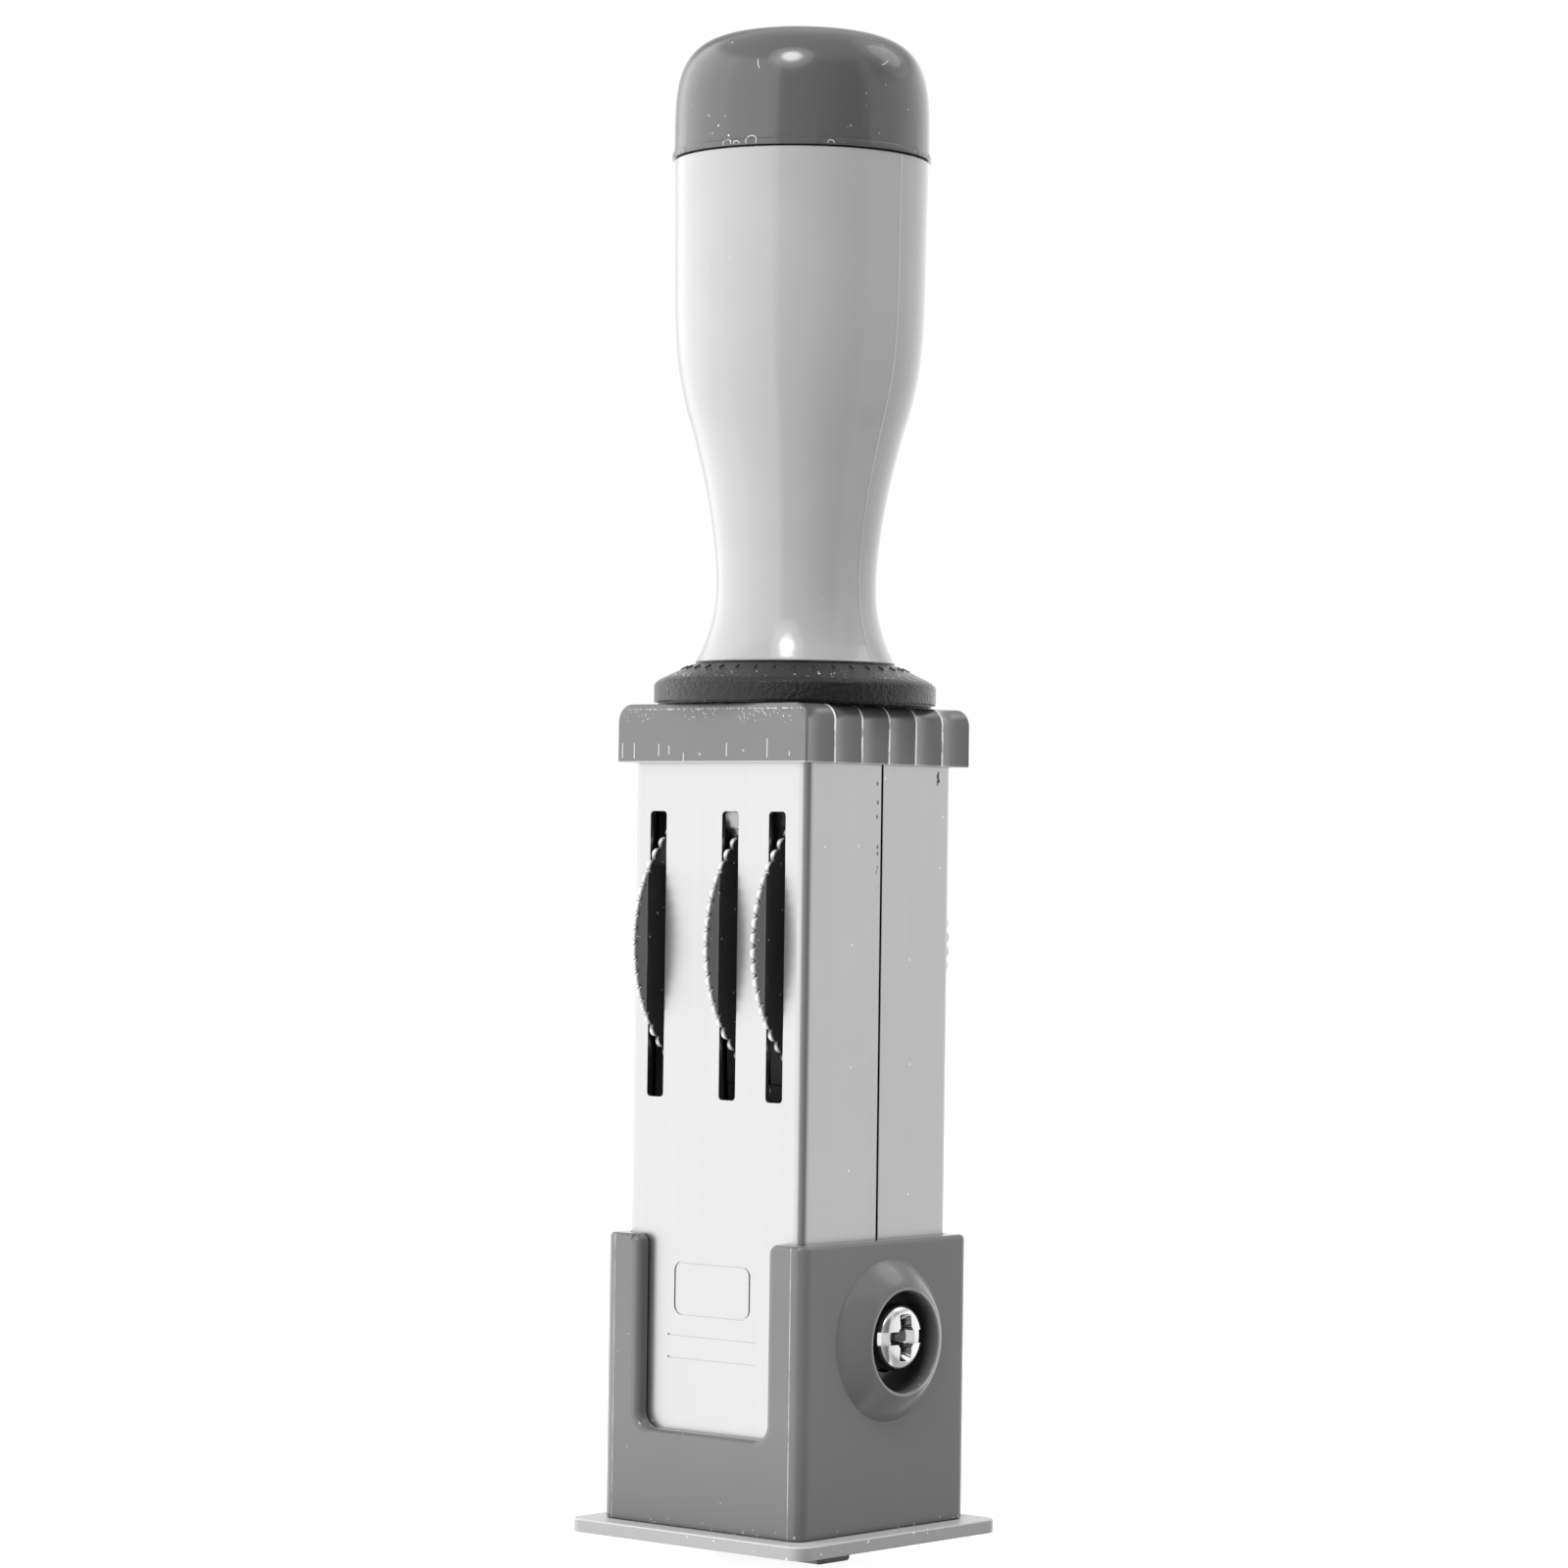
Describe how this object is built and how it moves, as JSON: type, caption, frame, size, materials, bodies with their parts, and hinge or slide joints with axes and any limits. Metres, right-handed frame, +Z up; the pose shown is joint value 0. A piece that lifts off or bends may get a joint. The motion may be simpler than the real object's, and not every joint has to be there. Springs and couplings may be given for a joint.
{
  "type": "rotary date stamp",
  "caption": "Hand date stamp with a square steel housing, thumb wheels that turn the type bands, a height-adjustable plastic foot and a turned plastic handle.",
  "frame": {"origin": "middle of the raised type faces, which the part stands on", "axes": "+Z up along the handle; -Y the front face with the wheel slots and the window; +X the side with the screw on the right as seen from the front"},
  "size_m": [0.0278, 0.0283, 0.138],
  "materials": {
    "brushed_stainless": "brushed along its length, light handling scratches",
    "frame_steel": "dull plated sheet",
    "pin_steel": "drawn pin",
    "screw_steel": "bright zinc plate",
    "insert_brass": "turned",
    "sleeve_plastic": "satin moulded, mid grey",
    "plate_plastic": "satin moulded, light grey",
    "top_cap_plastic": "satin moulded, mid grey, scuffed edges",
    "handle_plastic": "glossy moulded, light grey",
    "handle_cap_plastic": "glossy moulded, dark grey",
    "collar_plastic": "fine spark grain, black",
    "wheel_plastic": "glossy moulded, black",
    "type_rubber": "moulded type rubber"
  },
  "bodies": {
    "housing": {"front_shell": "brushed_stainless", "rear_shell": "brushed_stainless", "inner_frame": "frame_steel", "nose_bar": "frame_steel", "wheel_axle": "pin_steel", "axle_spacer_left": "wheel_plastic", "axle_spacer_right": "wheel_plastic", "year_band": "type_rubber", "month_band": "type_rubber", "day_band": "type_rubber", "side_screw_right": "screw_steel", "side_screw_left": "screw_steel", "side_nut_right": "screw_steel", "side_nut_left": "screw_steel", "top_cap": "top_cap_plastic", "collar_disc": "collar_plastic", "handle_grip": "handle_plastic", "handle_cap": "handle_cap_plastic", "handle_screw": "screw_steel", "screw_washer": "screw_steel", "handle_insert": "insert_brass"},
    "foot": {"lower_sleeve": "sleeve_plastic", "base_plate": "plate_plastic"},
    "year_wheel": {"year_wheel": "wheel_plastic"},
    "month_wheel": {"month_wheel": "wheel_plastic"},
    "day_wheel": {"day_wheel": "wheel_plastic"}
  },
  "joints": [
    {"name": "foot_height", "type": "slide", "parent": "housing", "child": "foot", "axis": [0, 0, 1], "range_m": [-0.0008, 0.0015]},
    {"name": "year_turn", "type": "hinge", "parent": "housing", "child": "year_wheel", "pos_m": [0, 0.0006, 0.05545], "axis": [1, 0, 0], "continuous": true},
    {"name": "month_turn", "type": "hinge", "parent": "housing", "child": "month_wheel", "pos_m": [0, 0.0006, 0.05545], "axis": [1, 0, 0], "continuous": true},
    {"name": "day_turn", "type": "hinge", "parent": "housing", "child": "day_wheel", "pos_m": [0, 0.0006, 0.05545], "axis": [1, 0, 0], "continuous": true}
  ]
}
